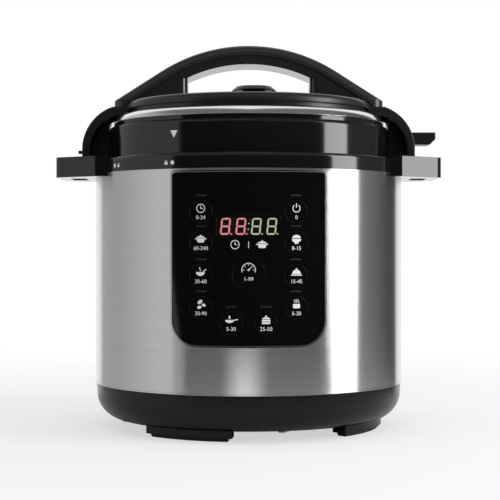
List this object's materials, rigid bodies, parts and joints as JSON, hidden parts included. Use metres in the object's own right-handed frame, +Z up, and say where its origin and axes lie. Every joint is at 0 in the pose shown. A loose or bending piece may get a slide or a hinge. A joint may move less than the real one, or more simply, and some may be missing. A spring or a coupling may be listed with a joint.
{
  "type": "electric pressure cooker",
  "caption": "Round countertop pressure cooker with a brushed steel jacket, a touch panel with a digit display, a bayonet lid with an arched handle, and side ears.",
  "frame": {"origin": "on the pot's axis, on the surface that the feet stand on", "axes": "+Z up, the control panel faces -Y, the cooker's right side is +X"},
  "size_m": [0.3401, 0.304, 0.341],
  "materials": {
    "base_plastic": "satin moulded",
    "foot_rubber": "matte",
    "screw_steel": "plated",
    "jacket_steel": "brushed round the body",
    "well_steel": "drawn",
    "pot_metal": "spun, satin",
    "gloss_black": "polished moulded",
    "cover_black": "fine texture",
    "handle_black": "satin moulded",
    "trim_silver": "satin silver",
    "panel_gloss": "printed film",
    "display_smoke": "smoked clear",
    "heater_metal": "cast and turned",
    "board_green": "solder mask",
    "component_black": "moulded",
    "fuse_white": "ceramic",
    "inlet_black": "moulded",
    "blade_brass": "plated",
    "seal_silicone": "translucent silicone",
    "cup_clear": "clear"
  },
  "bodies": {
    "cooker": {"base_housing": "base_plastic", "bottom_plate": "base_plastic", "foot_pads": "foot_rubber", "base_screws": "screw_steel", "collar_screws": "screw_steel", "board_screws": "screw_steel", "tie_rods": "screw_steel", "heater_posts": "screw_steel", "thermostat_spring": "screw_steel", "heating_element": "screw_steel", "outer_shell": "jacket_steel", "cooking_well": "well_steel", "locking_ring": "well_steel", "thermostat_seat": "well_steel", "collar_ring": "gloss_black", "cup_bracket": "cover_black", "panel_bezel": "trim_silver", "panel_fascia": "panel_gloss", "display_lens": "display_smoke", "heating_plate": "heater_metal", "control_board": "board_green", "power_board": "board_green", "power_board_parts": "component_black", "tact_switches": "component_black", "led_display": "component_black", "pressure_switch": "component_black", "thermal_fuse": "fuse_white", "power_inlet": "inlet_black", "inlet_pins": "blade_brass"},
    "pot": {"inner_pot": "pot_metal"},
    "lid_seal": {"sealing_ring": "seal_silicone"},
    "lid": {"lid_liner": "well_steel", "seal_rack": "screw_steel", "lid_skirt": "gloss_black", "lid_trim_ring": "trim_silver", "lid_top_cover": "cover_black", "lid_studs": "screw_steel", "lid_rest_fin": "cover_black", "handle_cover": "handle_black", "handle_grip": "handle_black", "lid_screws": "screw_steel", "vent_pipe": "screw_steel", "anti_block_shield": "screw_steel"},
    "valve_knob": {"steam_valve_knob": "cover_black"},
    "float_pin": {"float_valve": "screw_steel"},
    "thermostat": {"thermostat_cap": "heater_metal"},
    "cup": {"condensation_cup": "cup_clear"},
    "key_centre": {"key_centre": "panel_gloss"},
    "key_lower_left": {"key_lower_left": "panel_gloss"},
    "key_lower_right": {"key_lower_right": "panel_gloss"},
    "key_left_1": {"key_left_1": "panel_gloss"},
    "key_left_2": {"key_left_2": "panel_gloss"},
    "key_left_3": {"key_left_3": "panel_gloss"},
    "key_left_4": {"key_left_4": "panel_gloss"},
    "key_right_1": {"key_right_1": "panel_gloss"},
    "key_right_2": {"key_right_2": "panel_gloss"},
    "key_right_3": {"key_right_3": "panel_gloss"},
    "key_right_4": {"key_right_4": "panel_gloss"}
  },
  "joints": [
    {"name": "pot_lift", "type": "slide", "parent": "cooker", "child": "pot", "axis": [0, 0, 1], "range_m": [0, 0.19]},
    {"name": "lid_lift", "type": "slide", "parent": "pot", "child": "lid_seal", "axis": [0, 0, 1], "range_m": [0, 0.14]},
    {"name": "lid_turn", "type": "hinge", "parent": "lid_seal", "child": "lid", "pos_m": [0, 0, 0], "axis": [0, 0, 1], "range_deg": [-30, 0]},
    {"name": "valve_turn", "type": "hinge", "parent": "lid", "child": "valve_knob", "pos_m": [0.005, 0.05, 0.3], "axis": [0, 0, 1], "range_deg": [0, 60]},
    {"name": "float_rise", "type": "slide", "parent": "lid", "child": "float_pin", "axis": [0, 0, 1], "range_m": [0, 0.005]},
    {"name": "thermostat_press", "type": "slide", "parent": "cooker", "child": "thermostat", "axis": [0, 0, 1], "range_m": [-0.003, 0], "stiffness_N_per_m": 600, "springref_m": 0.003, "deforming": ["thermostat_spring"]},
    {"name": "cup_pull", "type": "slide", "parent": "cooker", "child": "cup", "axis": [0, 1, 0], "range_m": [0, 0.04]},
    {"name": "key_centre_press", "type": "slide", "parent": "cooker", "child": "key_centre", "axis": [0, 1, 0], "range_m": [0, 0.0008], "stiffness_N_per_m": 1500},
    {"name": "key_lower_left_press", "type": "slide", "parent": "cooker", "child": "key_lower_left", "axis": [0, 1, 0], "range_m": [0, 0.0008], "stiffness_N_per_m": 1500},
    {"name": "key_lower_right_press", "type": "slide", "parent": "cooker", "child": "key_lower_right", "axis": [0, 1, 0], "range_m": [0, 0.0008], "stiffness_N_per_m": 1500},
    {"name": "key_left_1_press", "type": "slide", "parent": "cooker", "child": "key_left_1", "axis": [0, 1, 0], "range_m": [0, 0.0008], "stiffness_N_per_m": 1500},
    {"name": "key_left_2_press", "type": "slide", "parent": "cooker", "child": "key_left_2", "axis": [0, 1, 0], "range_m": [0, 0.0008], "stiffness_N_per_m": 1500},
    {"name": "key_left_3_press", "type": "slide", "parent": "cooker", "child": "key_left_3", "axis": [0, 1, 0], "range_m": [0, 0.0008], "stiffness_N_per_m": 1500},
    {"name": "key_left_4_press", "type": "slide", "parent": "cooker", "child": "key_left_4", "axis": [0, 1, 0], "range_m": [0, 0.0008], "stiffness_N_per_m": 1500},
    {"name": "key_right_1_press", "type": "slide", "parent": "cooker", "child": "key_right_1", "axis": [0, 1, 0], "range_m": [0, 0.0008], "stiffness_N_per_m": 1500},
    {"name": "key_right_2_press", "type": "slide", "parent": "cooker", "child": "key_right_2", "axis": [0, 1, 0], "range_m": [0, 0.0008], "stiffness_N_per_m": 1500},
    {"name": "key_right_3_press", "type": "slide", "parent": "cooker", "child": "key_right_3", "axis": [0, 1, 0], "range_m": [0, 0.0008], "stiffness_N_per_m": 1500},
    {"name": "key_right_4_press", "type": "slide", "parent": "cooker", "child": "key_right_4", "axis": [0, 1, 0], "range_m": [0, 0.0008], "stiffness_N_per_m": 1500}
  ]
}
